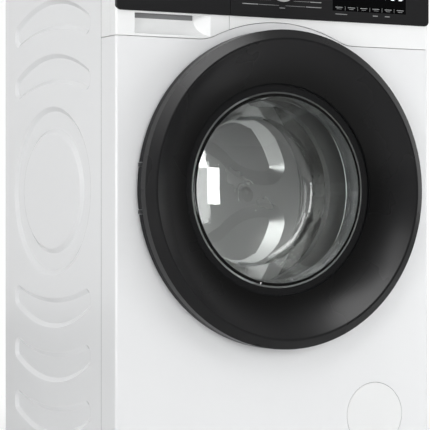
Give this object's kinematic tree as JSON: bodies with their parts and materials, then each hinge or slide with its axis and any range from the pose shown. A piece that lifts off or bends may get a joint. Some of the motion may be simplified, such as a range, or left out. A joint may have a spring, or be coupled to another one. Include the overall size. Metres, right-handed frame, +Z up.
{
  "type": "front load washing machine",
  "caption": "Slim front load washing machine with a round glazed door, arched fascia, detergent drawer, programme knob, sprung tub and spinning drum.",
  "frame": {"origin": "centre of the footprint box at floor level", "axes": "+Z up, -Y towards the user at the door side, +X to the user's right"},
  "size_m": [0.597, 0.518, 0.85],
  "materials": {
    "white_enamel": "smooth baked enamel",
    "fascia_white": "satin moulded plastic",
    "worktop_trim": "fine grained plastic",
    "worktop_laminate": "white laminate over chipboard",
    "strip_black": "satin black plastic",
    "display_black": "dark smoked window",
    "knob_finish": "spun satin metal over plastic",
    "door_black": "satin black plastic",
    "clear_glass": "clear moulded glass",
    "trim_chrome": "bright ring",
    "zinc_cast": "die cast zinc alloy",
    "hinge_black": "black coated zinc alloy",
    "grey_plastic": "moulded plastic",
    "gasket_rubber": "matte grey rubber",
    "hose_rubber": "matte black rubber",
    "belt_rubber": "ribbed black rubber",
    "tub_plastic": "filled polypropylene",
    "concrete": "cast concrete",
    "drum_steel": "brushed stainless steel",
    "lifter_plastic": "pale grey plastic",
    "cast_alloy": "as cast",
    "machined_steel": "ground steel",
    "motor_metal": "dark painted metal",
    "galvanised": "zinc coated sheet",
    "spring_steel": "oiled spring wire",
    "base_plastic": "black plastic",
    "tray_plastic": "pale plastic",
    "cap_plastic": "blue plastic",
    "filter_plastic": "pale plastic",
    "cover_white": "satin plastic"
  },
  "bodies": {
    "cabinet": {"left_side_panel": "white_enamel", "right_side_panel": "white_enamel", "rear_panel": "galvanised", "rear_service_cover": "galvanised", "rear_screws": "galvanised", "front_panel": "white_enamel", "base_tray": "base_plastic", "top_braces": "galvanised", "worktop_frame": "worktop_trim", "worktop_board": "worktop_laminate", "control_panel": "fascia_white", "control_strip": "strip_black", "display_window": "display_black", "control_board": "grey_plastic", "dispenser_housing": "tray_plastic", "inlet_valve": "grey_plastic", "fill_hose": "hose_rubber", "dispenser_hose": "hose_rubber", "hinge_bracket": "hinge_black", "door_lock": "grey_plastic", "door_gasket": "gasket_rubber", "suspension_springs": "spring_steel", "damper_cylinders": "motor_metal", "drain_pump": "grey_plastic", "filter_bezel": "filter_plastic", "sump_hose": "hose_rubber", "drain_hose": "hose_rubber", "rear_fittings": "grey_plastic"},
    "door": {"door_front_frame": "door_black", "door_back_frame": "door_black", "door_glass": "clear_glass", "glass_trim_ring": "trim_chrome", "hinge_block": "grey_plastic"},
    "hook": {"door_hook": "zinc_cast"},
    "drawer": {"drawer_front": "fascia_white", "drawer_strip": "strip_black", "drawer_tray": "tray_plastic", "siphon_cap": "cap_plastic"},
    "knob": {"programme_knob": "knob_finish"},
    "tub": {"tub_front": "tub_plastic", "tub_rear": "tub_plastic", "counterweights": "concrete", "heater": "machined_steel", "shaft_bearings": "machined_steel", "motor": "motor_metal", "damper_rods": "machined_steel", "drive_belt": "belt_rubber"},
    "drum": {"drum_shell": "drum_steel", "drum_front_ring": "drum_steel", "drum_back_plate": "drum_steel", "drum_lifters": "lifter_plastic", "drum_spider": "cast_alloy", "drum_pulley": "cast_alloy"},
    "rotor": {"motor_pulley": "machined_steel"},
    "filter": {"pump_filter": "filter_plastic"},
    "flap": {"filter_cover": "cover_white"},
    "foot_1": {"foot_front_left": "base_plastic"},
    "foot_2": {"foot_front_right": "base_plastic"},
    "foot_3": {"foot_rear_left": "base_plastic"},
    "foot_4": {"foot_rear_right": "base_plastic"}
  },
  "joints": [
    {"name": "door_hinge", "type": "hinge", "parent": "cabinet", "child": "door", "pos_m": [-0.25, -0.236, 0.463], "axis": [0, 0, -1], "range_deg": [0, 120]},
    {"name": "hook_pivot", "type": "hinge", "parent": "door", "child": "hook", "pos_m": [0.21438, -0.226, 0.463], "axis": [0, 0, 1], "range_deg": [0, 8], "stiffness_Nm_per_rad": 0.1, "springref_deg": -11.46},
    {"name": "drawer_slide", "type": "slide", "parent": "cabinet", "child": "drawer", "axis": [0, -1, 0], "range_m": [0, 0.2]},
    {"name": "knob_turn", "type": "hinge", "parent": "cabinet", "child": "knob", "pos_m": [0.006, -0.2188, 0.799], "axis": [0, -1, 0], "continuous": true},
    {"name": "tub_bounce", "type": "slide", "parent": "cabinet", "child": "tub", "axis": [0, 0, 1], "range_m": [-0.01, 0.01], "stiffness_N_per_m": 25000, "springref_m": 0.0115, "deforming": ["suspension_springs", "dispenser_hose", "sump_hose", "door_gasket"]},
    {"name": "drum_spin", "type": "hinge", "parent": "tub", "child": "drum", "pos_m": [0, 0.1, 0.463], "axis": [0, 1, 0], "continuous": true},
    {"name": "rotor_spin", "type": "hinge", "parent": "tub", "child": "rotor", "pos_m": [0, 0.16, 0.128], "axis": [0, 1, 0], "continuous": true},
    {"name": "filter_turn", "type": "hinge", "parent": "cabinet", "child": "filter", "pos_m": [0.19, -0.174, 0.0825], "axis": [0, -1, 0], "range_deg": [0, 90]},
    {"name": "flap_hinge", "type": "hinge", "parent": "cabinet", "child": "flap", "pos_m": [0.1285, -0.2095, 0.0825], "axis": [0, 0, -1], "range_deg": [0, 90]},
    {"name": "front_left_foot_screw", "type": "slide", "parent": "cabinet", "child": "foot_1", "axis": [0, 0, -1], "range_m": [0, 0.012]},
    {"name": "front_right_foot_screw", "type": "slide", "parent": "cabinet", "child": "foot_2", "axis": [0, 0, -1], "range_m": [0, 0.012]},
    {"name": "rear_left_foot_screw", "type": "slide", "parent": "cabinet", "child": "foot_3", "axis": [0, 0, -1], "range_m": [0, 0.012]},
    {"name": "rear_right_foot_screw", "type": "slide", "parent": "cabinet", "child": "foot_4", "axis": [0, 0, -1], "range_m": [0, 0.012]}
  ],
  "couplings": [
    {"joint": "rotor_spin", "follows": "drum_spin", "ratio": 14}
  ]
}
